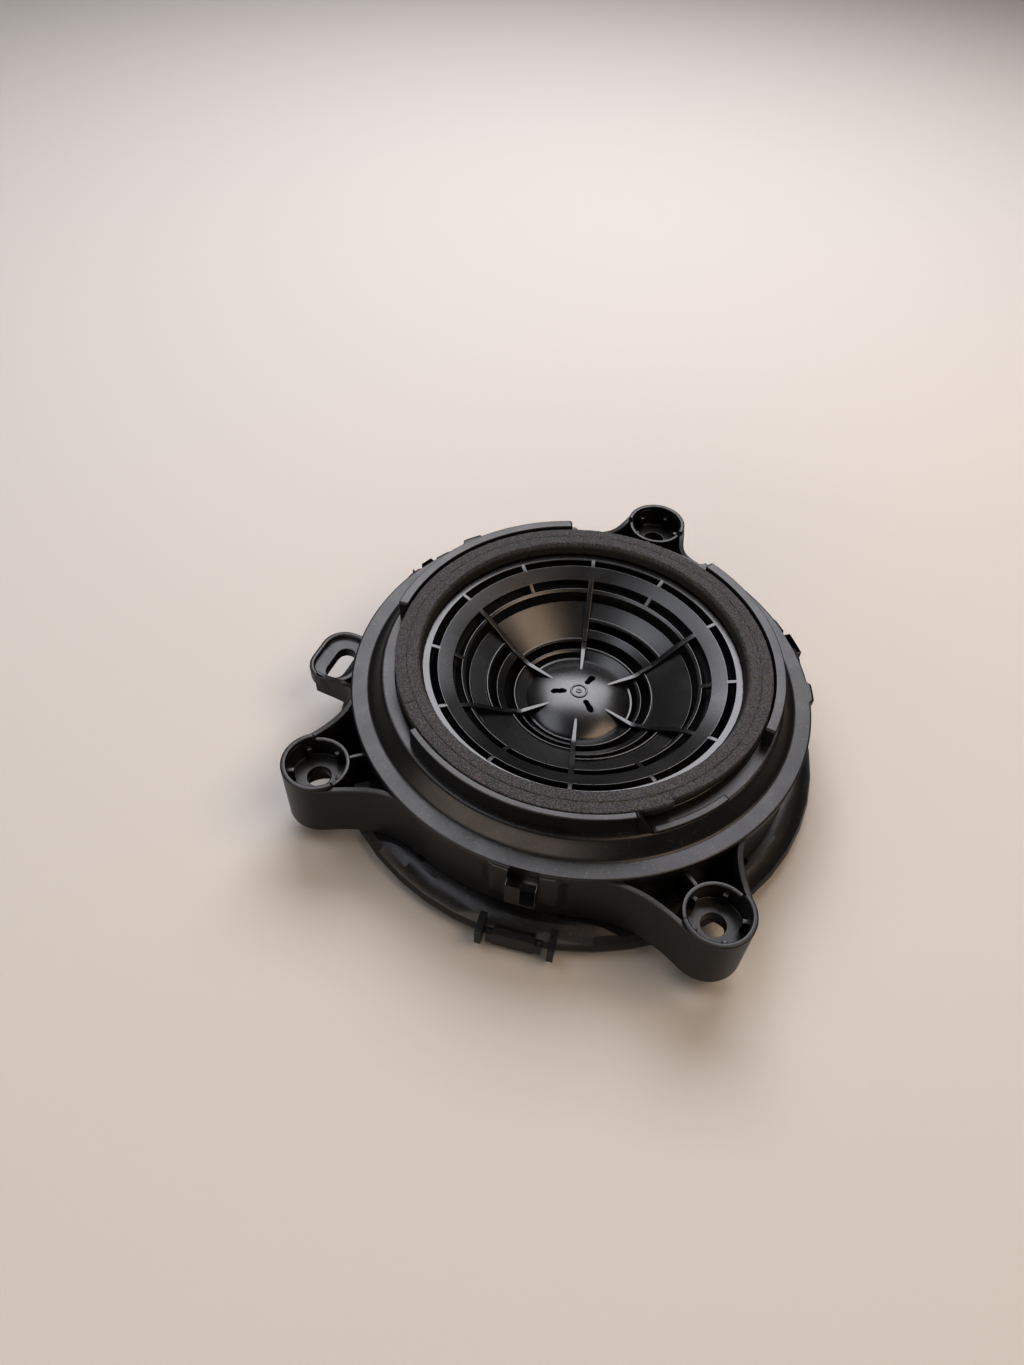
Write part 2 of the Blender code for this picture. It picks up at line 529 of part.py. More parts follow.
def main():
    clear_scene()
    moulding = material("glass filled nylon", (0.035, 0.036, 0.038), 0.55)
    lens_black = material("semi gloss black plastic", (0.03, 0.03, 0.032), 0.35)
    housing_black = material("matt black plastic", (0.03, 0.031, 0.033), 0.6)
    foam = material("open cell foam", (0.07, 0.065, 0.06), 0.95)
    mats = {
        "steel_black": material("black coated steel", (0.05, 0.05, 0.052), 0.5),
        "zinc": material("zinc plated steel", (0.55, 0.56, 0.58), 0.35, 1.0),
        "rubber": material("surround rubber", (0.02, 0.02, 0.02), 0.7),
        "pulp": material("black pressed pulp", (0.04, 0.04, 0.04), 0.85),
        "foil": material("aluminium foil", (0.7, 0.7, 0.72), 0.35, 1.0),
        "copper": material("copper wire", (0.72, 0.35, 0.2), 0.35, 1.0),
        "cloth": material("phenolic cloth", (0.55, 0.4, 0.18), 0.85),
        "nickel": material("nickel plated magnet", (0.62, 0.6, 0.57), 0.25, 1.0),
    }
    brass = material("tinned brass", (0.75, 0.68, 0.5), 0.3, 1.0)
    fibre = material("fibre board", (0.1, 0.09, 0.08), 0.9)
    build_ring(moulding)
    build_housing(housing_black, brass)
    build_lens(lens_black)
    build_gaskets(foam, fibre)
    build_driver(mats)
    build_leads(mats["copper"], brass)
    gather_moving(("cone", "dust_cap", "coil_former", "coil_winding"))


main()
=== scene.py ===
import bpy
import bmesh
import json
import math
import numpy as np
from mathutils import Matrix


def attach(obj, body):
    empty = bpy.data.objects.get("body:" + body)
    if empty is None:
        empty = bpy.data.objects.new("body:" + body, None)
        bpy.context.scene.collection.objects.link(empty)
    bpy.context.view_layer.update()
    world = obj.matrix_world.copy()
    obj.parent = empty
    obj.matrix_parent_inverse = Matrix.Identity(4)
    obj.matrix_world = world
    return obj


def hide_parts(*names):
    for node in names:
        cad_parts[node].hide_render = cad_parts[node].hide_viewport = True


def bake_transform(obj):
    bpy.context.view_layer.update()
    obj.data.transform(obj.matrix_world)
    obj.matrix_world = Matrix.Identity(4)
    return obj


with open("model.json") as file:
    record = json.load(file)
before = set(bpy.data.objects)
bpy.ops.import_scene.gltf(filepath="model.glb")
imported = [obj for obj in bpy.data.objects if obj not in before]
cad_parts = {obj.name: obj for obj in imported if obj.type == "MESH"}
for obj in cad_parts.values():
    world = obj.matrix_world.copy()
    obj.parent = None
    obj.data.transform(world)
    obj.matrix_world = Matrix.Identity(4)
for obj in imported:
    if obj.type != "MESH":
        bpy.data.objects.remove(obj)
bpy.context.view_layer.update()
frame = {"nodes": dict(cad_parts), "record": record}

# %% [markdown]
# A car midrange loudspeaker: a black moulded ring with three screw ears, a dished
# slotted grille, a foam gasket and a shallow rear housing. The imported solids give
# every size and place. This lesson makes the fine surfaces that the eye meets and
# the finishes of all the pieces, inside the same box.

MM = 0.001

# %% [markdown]
# Every colour is written as the hex value seen on a screen. Shaders want linear
# light, so one function undoes the screen's curve.

# %% Colours and shader nodes
def linear(hex_colour):
    """sRGB hex to linear: c / 12.92 near black, else ((c + 0.055) / 1.055) to the power 2.4."""
    c = np.array([int(hex_colour[i:i + 2], 16) for i in (1, 3, 5)]) / 255.0
    return (*np.where(c <= 0.04045, c / 12.92, ((c + 0.055) / 1.055) ** 2.4).tolist(), 1.0)


def add_node(tree, kind, settings=None, values=None, links=None):
    """One shader node: settings are its options, values fill its sockets, links feed them."""
    made = tree.nodes.new(kind)
    for name, value in (settings or {}).items():
        setattr(made, name, value)
    for name, value in (values or {}).items():
        made.inputs[name].default_value = value
    for name, source in (links or {}).items():
        tree.links.new(source, made.inputs[name])
    return made


def new_material(name, **sockets):
    """A material with its Principled shader, whose uniform values are set on its own sockets."""
    mat = bpy.data.materials.new(name)
    mat.use_nodes = True
    shader = mat.node_tree.nodes["Principled BSDF"]
    for socket, value in sockets.items():
        shader.inputs[socket.replace("_", " ")].default_value = value
    return mat, mat.node_tree, shader


print("black nylon in linear light", [round(v, 4) for v in linear("#0e0e0f")])

# %% [markdown]
# The ring and the housing are glass-filled nylon. The steel mould was spark
# eroded, which leaves a fine, even grain, and the hot flow leaves faint cloudy
# streaks of gloss. Grain is 0.4 to 0.5 mm here, coarser than the real 0.1 mm so
# that it shows. A little dust settles on what faces up. The grille is ABS from a
# smoother mould, so it shines more.

# %% Moulded plastics
def moulded_plastic(name, colour, pale, rough, specular, grain_mm, grain_depth_mm, cloud_mm, dust):
    """Black plastic: colour and roughness wander with a cloud pattern, bump comes from the grain."""
    mat, tree, shader = new_material(name, IOR=1.53, Specular_IOR_Level=specular)
    at = add_node(tree, "ShaderNodeTexCoord").outputs["Object"]
    grain = add_node(tree, "ShaderNodeTexNoise",
                     values={"Scale": 1.0 / (grain_mm * MM), "Detail": 2.0, "Roughness": 0.55},
                     links={"Vector": at})
    cloud = add_node(tree, "ShaderNodeTexNoise",
                     values={"Scale": 1.0 / (cloud_mm * MM), "Detail": 3.0, "Distortion": 0.6},
                     links={"Vector": at})
    specks = add_node(tree, "ShaderNodeTexNoise",
                      values={"Scale": 1.0 / (0.7 * MM), "Detail": 1.0}, links={"Vector": at})
    facing = add_node(tree, "ShaderNodeNewGeometry").outputs["Normal"]
    up = add_node(tree, "ShaderNodeSeparateXYZ", links={"Vector": facing}).outputs["Z"]
    tone = add_node(tree, "ShaderNodeMix", {"data_type": "RGBA"},
                    {"A": linear(colour), "B": linear(pale)}, {"Factor": cloud.outputs["Fac"]})
    rare = add_node(tree, "ShaderNodeMapRange",
                    values={"From Min": 0.63, "From Max": 0.75, "To Max": dust},
                    links={"Value": specks.outputs["Fac"]})
    lying = add_node(tree, "ShaderNodeMath", {"operation": "MULTIPLY", "use_clamp": True},
                     links={0: rare.outputs["Result"], 1: up})
    dusty = add_node(tree, "ShaderNodeMix", {"data_type": "RGBA"},
                     {"B": linear("#8f8578")}, {"Factor": lying.outputs["Value"],
                                                "A": tone.outputs["Result"]})
    gloss = add_node(tree, "ShaderNodeMapRange",
                     values={"From Min": 0.3, "From Max": 0.7, "To Min": rough - 0.03,
                             "To Max": rough + 0.04}, links={"Value": cloud.outputs["Fac"]})
    bump = add_node(tree, "ShaderNodeBump",
                    values={"Strength": 0.6, "Distance": grain_depth_mm * MM},
                    links={"Height": grain.outputs["Fac"]})
    tree.links.new(dusty.outputs["Result"], shader.inputs["Base Color"])
    tree.links.new(gloss.outputs["Result"], shader.inputs["Roughness"])
    tree.links.new(bump.outputs["Normal"], shader.inputs["Normal"])
    return mat


ring_nylon = moulded_plastic("glass_filled_nylon_spark_eroded", "#0e0e0f", "#151516", 0.35,
                              0.36, 0.42, 0.01, 9.0, 0.1)
housing_nylon = moulded_plastic("glass_filled_nylon_matt", "#0e0e0f", "#151516", 0.35,
                                 0.38, 0.4, 0.012, 12.0, 0.1)
grille_abs = moulded_plastic("abs_semi_gloss_moulded", "#0a0a0b", "#101011", 0.27,
                              0.5, 0.5, 0.004, 14.0, 0.04)
print("plastics:", ring_nylon.name, housing_nylon.name, grille_abs.name)

# %% [markdown]
# The gasket is open-cell polyurethane foam, sliced to strips. Its cut face shows
# burst cells about 0.4 mm across and no gloss: paler walls, and pits painted dark
# as painted shade. The sides, below the top, are painted darker as painted shade.

# %% Open-cell foam
def open_cell_foam(name, cell_mm):
    """Cells from a Voronoi pattern: pits are deep and painted dark as their shade, walls are pale and high.
    Below the top the sides get a painted shade.
    """
    mat, tree, shader = new_material(name, Roughness=0.95, IOR=1.45)
    at = add_node(tree, "ShaderNodeTexCoord").outputs["Object"]
    cells = add_node(tree, "ShaderNodeTexVoronoi", {"feature": "F1"},
                     {"Scale": 1.0 / (cell_mm * MM)}, {"Vector": at})
    patches = add_node(tree, "ShaderNodeTexNoise",
                       values={"Scale": 1.0 / (1.8 * MM), "Detail": 4.0, "Roughness": 0.7},
                       links={"Vector": at})
    # Painted shade: the ramp paints the pits of the cells dark, where shade falls, and the walls pale.
    wall = add_node(tree, "ShaderNodeValToRGB", links={"Fac": cells.outputs["Distance"]})
    wall.color_ramp.elements[0].color = linear("#121213")
    wall.color_ramp.elements[1].color = linear("#515153")
    wall.color_ramp.elements[1].position = 0.75
    tone = add_node(tree, "ShaderNodeMix", {"data_type": "RGBA", "blend_type": "MULTIPLY"},
                    {"Factor": 0.4}, {"A": wall.outputs["Color"], "B": patches.outputs["Color"]})
    # Painted shade: below 34.5 mm the sides are painted a dark brown, standing in for the shade on them.
    height = add_node(tree, "ShaderNodeSeparateXYZ", links={"Vector": at})
    side = add_node(tree, "ShaderNodeMapRange", values={"From Min": 34.5 * MM, "From Max": 35.5 * MM},
                    links={"Value": height.outputs["Z"]})
    shade = add_node(tree, "ShaderNodeMix", {"data_type": "RGBA"}, {"A": linear("#15120d")},
                     {"Factor": side.outputs["Result"], "B": tone.outputs["Result"]})
    bump = add_node(tree, "ShaderNodeBump", values={"Strength": 0.9, "Distance": 0.18 * MM},
                    links={"Height": cells.outputs["Distance"]})
    tree.links.new(shade.outputs["Result"], shader.inputs["Base Color"])
    tree.links.new(bump.outputs["Normal"], shader.inputs["Normal"])
    return mat


gasket_foam = open_cell_foam("polyurethane_foam_open_cell", 0.4)
print("foam cells 0.4 mm in", gasket_foam.name)

# %% [markdown]
# Behind the grille lies the driver. Its materials are simpler but each still has
# the grain its making leaves: turning lines on plated steel, fibres in the
# pressed pulp, threads in the dipped cloth.

# %% Finishes of the inner pieces
def worked_surface(name, dark, light, rough, metal, scale_mm, depth_mm,
                   stretch=(1.0, 1.0, 1.0), specular=0.5):
    """Two tones and a bump from one noise, stretched along the way the surface was worked."""
    mat, tree, shader = new_material(name, Metallic=metal, Specular_IOR_Level=specular)
    at = add_node(tree, "ShaderNodeTexCoord").outputs["Object"]
    turned = add_node(tree, "ShaderNodeMapping", values={"Scale": stretch}, links={"Vector": at})
    fibre = add_node(tree, "ShaderNodeTexNoise",
                     values={"Scale": 1.0 / (scale_mm * MM), "Detail": 4.0, "Roughness": 0.6},
                     links={"Vector": turned.outputs["Vector"]})
    tone = add_node(tree, "ShaderNodeMix", {"data_type": "RGBA"},
                    {"A": linear(dark), "B": linear(light)}, {"Factor": fibre.outputs["Fac"]})
    gloss = add_node(tree, "ShaderNodeMapRange",
                     values={"To Min": rough - 0.07, "To Max": rough + 0.07},
                     links={"Value": fibre.outputs["Fac"]})
    bump = add_node(tree, "ShaderNodeBump", values={"Strength": 0.5, "Distance": depth_mm * MM},
                    links={"Height": fibre.outputs["Fac"]})
    tree.links.new(tone.outputs["Result"], shader.inputs["Base Color"])
    tree.links.new(gloss.outputs["Result"], shader.inputs["Roughness"])
    tree.links.new(bump.outputs["Normal"], shader.inputs["Normal"])
    return mat


finishes = {
    "coated_steel": worked_surface("steel_black_electrocoat", "#080809", "#0e0e0f",
                                   0.5, 0.0, 0.6, 0.02, specular=0.25),
    "rubber": worked_surface("butyl_rubber_moulded", "#070707", "#0b0b0b",
                             0.7, 0.0, 0.5, 0.02, specular=0.2),
    "pulp": worked_surface("paper_pulp_pressed_black", "#070707", "#0e0e0d",
                           0.9, 0.0, 0.9, 0.06, specular=0.15),
    "foil": worked_surface("aluminium_foil_rolled", "#c4c6c9", "#dadcde", 0.34, 1.0, 0.5, 0.01, (1, 1, 6)),
    "copper": worked_surface("copper_wire_enamelled", "#a5562f", "#c97b4c", 0.34, 1.0, 0.4, 0.04, (1, 1, 5)),
    "cloth": worked_surface("cotton_cloth_phenolic_dipped", "#8a6a31", "#b9924c", 0.82, 0.0, 0.5, 0.08),
    "zinc": worked_surface("steel_zinc_plated", "#9b9ea3", "#bfc2c6", 0.34, 1.0, 0.5, 0.01),
    "nickel": worked_surface("neodymium_nickel_plated", "#b0ada6", "#cfccc4", 0.24, 1.0, 0.7, 0.005),
    "tinned_brass": worked_surface("brass_tinned", "#b9b3a2", "#d6d0bd", 0.3, 1.0, 0.5, 0.008),
    "fibre": worked_surface("fibreboard_pressed", "#0b0a0a", "#131211",
                            0.9, 0.0, 0.7, 0.06, specular=0.15),
    "moulding": ring_nylon,
    "housing": housing_nylon,
    "lens": grille_abs,
    "foam": gasket_foam,
}
for entry in frame["record"]["subparts"]:
    solid = frame["nodes"][entry["node"]]
    solid.data.materials.clear()
    solid.data.materials.append(finishes[entry["material_slot"]])
print(len(finishes), "finishes on", len(frame["nodes"]), "solids")

# %% [markdown]
# A grid of points becomes a mesh in one go. Both ways of the grid may close on
# themselves. An open way is shut at each end with a fan, so the piece is solid.

# %% From a grid of points to a closed mesh
def grid_faces(rows, columns, close_rows):
    """Quads of a grid whose columns always close: corner (i, j) is i * columns + j."""
    i, j = np.meshgrid(np.arange(rows if close_rows else rows - 1), np.arange(columns), indexing="ij")
    i2, j2 = (i + 1) % rows, (j + 1) % columns
    corners = [i * columns + j, i * columns + j2, i2 * columns + j2, i2 * columns + j]
    return np.stack(corners, -1).reshape(-1, 4)


def solid_shell(points, close_rows):
    """A tube of sections (rows, columns, xyz in mm), its ends fanned shut: vertices in metres,
    then the faces as one array of quads and, where there are ends, one of triangles."""
    rows, columns, _ = points.shape
    verts = points.reshape(-1, 3) * MM
    face_groups = [grid_faces(rows, columns, close_rows)]
    if not close_rows:
        ends = points[[0, -1]].mean(axis=1) * MM
        verts = np.vstack([verts, ends])
        j = np.arange(columns)
        low = np.stack([np.full(columns, rows * columns), (j + 1) % columns, j], -1)
        last = (rows - 1) * columns
        high = np.stack([np.full(columns, rows * columns + 1), last + j, last + (j + 1) % columns], -1)
        face_groups.append(np.vstack([low, high]))
    return verts, face_groups


def build_piece(name, shells, finish, sharp_degrees=38.0, rides=True):
    """One object from several shells, with outward faces and smooth shading between hard edges."""
    verts = []
    faces = []
    start = 0
    for shell_verts, face_groups in shells:
        verts.append(shell_verts)
        for group in face_groups:
            faces += (group + start).tolist()
        start += len(shell_verts)
    mesh = bpy.data.meshes.new(name)
    mesh.from_pydata(np.vstack(verts).tolist(), [], faces)
    bm = bmesh.new()
    bm.from_mesh(mesh)
    bmesh.ops.recalc_face_normals(bm, faces=bm.faces)
    bm.to_mesh(mesh)
    bm.free()
    mesh.shade_smooth()
    mesh.set_sharp_from_angle(angle=math.radians(sharp_degrees))
    mesh.materials.append(finish)
    piece = bpy.data.objects.new(name, mesh)
    bpy.context.scene.collection.objects.link(piece)
    if rides:
        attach(piece, "chassis")
    print(name, "has", len(mesh.polygons), "faces")
    return piece


# %% [markdown]
# A moulded bar is never a sharp box: the mould's corners are eased. So each bar,
# ring and rib starts from one rounded rectangle.

# %% The rounded rectangle and what is carried along with it
def rounded_section(width, height, ease, per_corner=5):
    """Points of a rectangle whose corners are quarter circles of radius ease, centred on 0."""
    turn = np.linspace(0.0, math.pi / 2, per_corner)
    quarter = np.concatenate([turn + k * math.pi / 2 for k in range(4)])
    cx = np.repeat([1, -1, -1, 1], per_corner) * (width / 2 - ease)
    cy = np.repeat([1, 1, -1, -1], per_corner) * (height / 2 - ease)
    return np.stack([cx + ease * np.cos(quarter), cy + ease * np.sin(quarter)], -1)


def turned(section, start=0.0, sweep=360.0, step=1.0, end_ease=0.0):
    """A closed outline of (r, z), one for all or one per angle, carried round the axis.
    Near an open end it shrinks like a quarter circle, so the end is eased."""
    whole = abs(sweep) >= 360.0
    count = max(3, int(round(abs(sweep) / step)))
    a = np.radians(start + np.linspace(0.0, sweep, count + 1))
    a = a[:-1] if whole else a
    section = np.asarray(section, float)
    stack = np.broadcast_to(section, (len(a),) + section.shape[-2:]).copy()
    if end_ease and not whole:
        turn = np.linspace(0.0, math.pi / 2, 5)
        middle, half = section.mean(0), np.ptp(section, axis=0) / 2
        shrink = 1.0 - end_ease * (1.0 - np.sin(turn))[:, None] / half
        small = middle + (section - middle) * shrink[:, None, :]
        move = end_ease * (1.0 - np.cos(turn)) / middle[0]
        a = np.concatenate([a[0] + move, a[1:-1], (a[-1] - move)[::-1]])
        stack = np.concatenate([small, stack[1:-1], small[::-1]])
    r, z = stack[..., 0], stack[..., 1]
    return solid_shell(np.stack([r * np.cos(a)[:, None], r * np.sin(a)[:, None], z], -1), whole)


def arc_bar(r_in, r_out, start, sweep, top_of, thick, ease, step=1.5, tilt=0.0):
    """A rounded section from r_in to r_out carried round the axis; its top lies tilt above top_of(r).
    Its sides stand square to the dish, so a point of depth d goes d along the dish's own normal."""
    section = rounded_section(r_out - r_in, thick, ease)
    r = (r_in + r_out) / 2 + section[:, 0]
    depth = thick / 2 - section[:, 1]
    slope = np.arctan((top_of(r + 0.4) - top_of(r - 0.4)) / 0.8)
    outline = np.stack([r + depth * np.sin(slope), top_of(r) + tilt - depth * np.cos(slope)], -1)
    return turned(outline, start, sweep, step)


def radial_bar(angle, radii, tops, widths, thick, ease):
    """A rounded section carried outwards along one direction; tops and widths are given at each radius."""
    section = rounded_section(1.0, thick, ease)
    r = np.asarray(radii, float)[:, None]
    t = section[:, 0][None, :] * np.broadcast_to(widths, len(radii))[:, None]
    z = np.asarray(tops, float)[:, None] - thick / 2 + section[:, 1][None, :]
    c, s = math.cos(math.radians(angle)), math.sin(math.radians(angle))
    return solid_shell(np.stack([r * c - t * s, r * s + t * c, z + 0 * r], -1), False)


print("rounded section of", len(rounded_section(1.3, 1.2, 0.25)), "points")

# %% [markdown]
# The grille is one dished moulding. Its rings, bands and bars follow one curve of
# height against radius, so the curve is a function and each member asks it where
# it lies. The panels between the spokes hang lower, on a curve of their own. Two
# kinds of sector alternate: three whose sunken panel is wide and three where a
# narrower panel leaves room for broader bands.

# %% Grille: the dish and its members
DISH_R = np.array([0.0, 8.4, 13.3, 14.2, 20.6, 24.6, 29.7, 33.5, 37.6, 41.5, 47.8])
DISH_Z = np.array([21.0, 20.0, 17.8, 17.8, 21.2, 24.0, 27.9, 30.0, 31.75, 32.7, 32.7])
SPOKES = (45.0, 105.0, 165.0, 225.0, 285.0, 345.0)
PANEL_OUT = 29.4


def dish(r):
    """Height of the grille's upper face at radius r, straight between the stations."""
    return np.interp(r, DISH_R, DISH_Z)


def shelf(r):
    """Height of the sunken panels: they hang lower than the rings at their outer edge."""
    return np.interp(r, [18.9, PANEL_OUT], [20.15, 25.7])


members = [arc_bar(39.4, 47.7, 0, 360, dish, 1.5, 0.3),
           arc_bar(33.5, 37.6, 0, 360, dish, 1.0, 0.2),
           arc_bar(30.3, 31.4, 0, 360, dish, 1.0, 0.2)]
for k in range(12):
    angle = 15.0 + 30.0 * k
    for low, high in ((37.3, 39.8), (31.1, 33.8)):
        reach = np.linspace(low, high, 4)
        members.append(radial_bar(angle, reach, dish(reach) + 0.02, 1.3, 1.3, 0.2))
for k, centre in enumerate((75.0, 135.0, 195.0, 255.0, 315.0, 15.0)):
    if k % 2 == 0:
        panel_in, lift = 24.0, 0.35
        bands = ((19.9, 22.0), (13.6, 17.3))
        beads = ((24.3, 0.05), (17.0, 0.32))
    else:
        panel_in, lift = 18.9, 0.0
        bands = ((15.9, 16.9), (13.6, 14.6))
        beads = ((19.25, 0.32),)
    members.append(arc_bar(panel_in, PANEL_OUT, centre - 30.0, 60.0,
                           lambda r: shelf(r) + lift * np.clip((PANEL_OUT - r) / 5.4, 0, 1), 0.8, 0.14))
    for low, high in bands:
        members.append(arc_bar(low, high, centre - 30.0, 60.0, dish, 0.95, 0.16))
    for r, tilt in beads:
        members.append(arc_bar(r - 0.35, r + 0.35, centre - 29.0, 58.0, dish, 0.8, 0.25, tilt=tilt))
for angle in SPOKES:
    reach = np.array([7.6, 8.6, 10.0, 11.6, 13.4, 15.2, 17.0, 20.6, 24.6, 28.0, 31.0, 34.0])
    upper = np.interp(reach, [7.6, 17.0, 20.6, 24.6, 29.7, 31.0, 34.0],
                      [19.95, 20.1, 21.75, 24.55, 28.35, dish(31.0) + 0.4, dish(34.0) + 0.03])
    width = np.interp(reach, [7.6, 10.0, 17.0, 34.0], [0.4, 1.0, 1.45, 1.5])
    members.append(radial_bar(angle, reach, upper, width, 2.1, 0.16))
    hang = np.linspace(18.4, 29.6, 6)
    members.append(radial_bar(angle, hang, shelf(hang) + 0.9, 1.2, 1.6, 0.15))
print(len(members), "members in the grille")

# %% [markdown]
# The dome in the middle is a smooth turned cap with three small slots and the
# mark of the injection gate. The slots are cut right through it, so they are
# taken out with a Boolean, which stays true to the real piece.

# %% Grille: the dome
def turned_cap(r, z):
    """A closed profile (r, z in mm) that starts and ends on the axis, turned into a solid."""
    a = np.radians(np.arange(0, 360, 3.0))[:, None]
    r = np.maximum(np.asarray(r, float), 1e-4)
    points = np.stack([r * np.cos(a), r * np.sin(a), np.broadcast_to(z, (len(a), len(r)))], -1)
    return solid_shell(points, True)


DOME_R = 14.2
DOME_WALL = 1.2
arc = np.linspace(0.0, DOME_R, 36)
cap_top = 17.75 + 3.25 * (1.0 - (arc / DOME_R) ** 2) ** 0.8
cap_r = np.concatenate([arc, arc[::-1]])
cap_z = np.concatenate([cap_top, cap_top[::-1] - DOME_WALL])
dome = build_piece("grille_dome", [turned_cap(cap_r, cap_z)], grille_abs)


def gate_top(r):
    """Height of the injection gate's mark: level, just above the dome's top."""
    return 21.2 + 0 * r


members += [arc_bar(1.8, 2.35, 0, 360, gate_top, 0.6, 0.2, step=6.0),
            arc_bar(0.3, 0.8, 0, 360, gate_top, 0.5, 0.15, step=12.0)]


def oval_plug(centre_r, angle, half_length, half_width):
    """An upright rod of stadium outline that cuts one slot through the dome."""
    turn = np.radians(np.arange(0, 360, 15.0) + 0.5)
    x = half_width * np.cos(turn) + np.sign(np.cos(turn)) * (half_length - half_width) + centre_r
    y = half_width * np.sin(turn)
    c, s = math.cos(math.radians(angle)), math.sin(math.radians(angle))
    ring = np.stack([x * c - y * s, x * s + y * c], -1)
    rows = [np.column_stack([ring, np.full(len(ring), z)]) for z in (14.0, 26.0)]
    return solid_shell(np.stack(rows), False)


def cut_away(piece, block):
    """The piece loses the block's volume, as one finished mesh, and the block is removed."""
    cut = piece.modifiers.new("cut", "BOOLEAN")
    cut.operation = "DIFFERENCE"
    cut.solver = "EXACT"
    cut.object = block
    bpy.context.view_layer.update()
    cut_mesh = bpy.data.meshes.new_from_object(piece.evaluated_get(bpy.context.evaluated_depsgraph_get()))
    piece.modifiers.clear()
    piece.data = cut_mesh
    bpy.data.objects.remove(block)


for angle in (200.0, 75.0, 318.0):
    cut_away(dome, build_piece("slot_plug", [oval_plug(5.4, angle, 2.0, 0.7)], grille_abs))
print("dome after slots has", len(dome.data.polygons), "faces")

grille = build_piece("grille_moulding", members, grille_abs)
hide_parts("lens_grille")
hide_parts("lens_grille")

# %% [markdown]
# The foam gasket is three lengths: one ring and two strips butted end to end. A
# knife-cut strip is soft, so its edges droop and its faces wander a little.

# %% Foam gasket
def wander(rows, columns, bumps, seed):
    """Smooth noise on a grid that closes both ways: a sum of waves with random phase."""
    rng = np.random.default_rng(seed)
    u, v = np.meshgrid(np.linspace(0, 2 * math.pi, rows, endpoint=False),
                       np.linspace(0, 2 * math.pi, columns, endpoint=False), indexing="ij")
    waves = [np.sin(n * u + m * v + p) for n, m, p in
             zip(rng.integers(5, bumps, 28), rng.integers(0, 5, 28), rng.uniform(0, 6.3, 28))]
    return np.sum(waves, axis=0) / math.sqrt(28)


def foam_strip(name, r_in, r_out, z_low, z_high, start, sweep, node, seed, lean=0.0, spare=0.0):
    """A rounded section carried round the axis, each point moved along the section by smooth noise.
    The inner side leans inwards by lean at its foot; the outer side starts spare mm further in."""
    section = rounded_section(r_out - r_in, z_high - z_low, 0.4, 8)
    out = section / np.linalg.norm(section, axis=1, keepdims=True)
    whole = sweep >= 360.0
    steps = int(sweep / 0.6)
    a = np.radians(start + np.linspace(0, sweep, steps, endpoint=not whole))[:, None]
    push = 0.05 * wander(steps, len(section), 140, seed) - 0.08
    r = (r_in + r_out) / 2 + section[:, 0] + push * out[:, 0]
    z = (z_low + z_high) / 2 + section[:, 1] + push * out[:, 1]
    r = r - lean * np.clip((z_high - z) / (z_high - z_low), 0, 1) * (section[:, 0] < 0)
    r = r - spare * np.exp(-((a - a[0]) / 0.5) ** 2) * (section[:, 0] > 0)
    piece = build_piece(name, [solid_shell(np.stack([r * np.cos(a), r * np.sin(a), z], -1), whole)],
                        gasket_foam, 180.0)
    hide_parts(node)
    return piece


foam_strip("foam_inner_ring", 42.3, 45.3, 32.8, 36.3, 0.0, 360.0, "gasket_inner_ring", 3, lean=1.2)
foam_strip("foam_outer_short", 45.1, 48.3, 32.7, 36.2, 224.4, 90.1, "gasket_outer_strip_a", 5)
foam_strip("foam_outer_long", 45.1, 48.3, 32.7, 36.2, 314.7, 269.5, "gasket_outer_strip_b", 7, spare=0.8)

# %% [markdown]
# Two soft pieces hold the cone in line: the rubber surround with its half roll and
# the cloth spider with its waves. Both stay put at their outer edge and travel
# with the cone at their inner edge. Each is made as gores, like an orange's, which
# meet their neighbours exactly.

# %% Surround and spider
GORES = 12


def gores(name, upper, thick, node, slot):
    """A wall under an upper line of (r, z), turned in equal gores."""
    upper = np.asarray(upper, float)
    outline = np.concatenate([upper, upper[::-1] - [0.0, thick]])
    sweep = 360.0 / GORES
    for k in range(GORES):
        piece = build_piece(f"{name}_{k + 1:02d}", [turned(outline, k * sweep, sweep, 2.5)],
                            finishes[slot], 60.0, rides=False)
        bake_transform(piece)
        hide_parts(node)


swing = np.radians(np.linspace(8.0, 172.0, 22))
roll = np.column_stack([36.95 + 2.2 * np.cos(swing), 27.6 - 2.2 * np.sin(swing)])
gores("surround_gore", np.concatenate([[(42.4, 28.0), (39.6, 28.0)], roll, [(34.5, 27.15), (33.0, 26.5)]]),
      0.4, "surround", "rubber")

reach = np.linspace(20.2, 13.6, 50)
waves = np.column_stack([reach, 11.85 - 0.33 * np.cos(math.pi * (20.2 - reach) / 1.1)])
gores("spider_gore", np.concatenate([[(24.3, 11.9), (21.2, 11.9)], waves, [(12.9, 11.8), (12.6, 11.8)]]),
      0.3, "spider", "cloth")

# %% [markdown]
# The leads are woven from fine copper and must flex millions of times, so each
# hangs in a slack bow from the neck of the cone to its tag on the basket.

# %% Lead wires
LEAD_ROUTE = ((16.6, 13.55), (18.2, 13.1), (20.2, 12.95), (22.2, 13.4), (23.6, 14.3))


def lead_wire(name, turn, node):
    """A round section carried along one smooth curve through the route's points of (r, z)."""
    route_r, route_z = np.array(LEAD_ROUTE).T
    r = np.linspace(route_r[0], route_r[-1], 60)
    z = np.polyval(np.polyfit(route_r, route_z, 4), r)
    around = np.radians(np.arange(0.0, 360.0, 20.0))
    weave = 0.28 + 0.02 * np.cos(4 * around[None, :] + np.linspace(0, 60, 60)[:, None])
    t, lift = weave * np.cos(around), weave * np.sin(around)
    c, s = math.cos(math.radians(turn)), math.sin(math.radians(turn))
    points = np.stack([r[:, None] * c - t * s, r[:, None] * s + t * c, z[:, None] + lift], -1)
    wire = build_piece(name, [solid_shell(points, False)], finishes["copper"],
                       60.0, rides=False)
    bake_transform(wire)
    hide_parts(node)


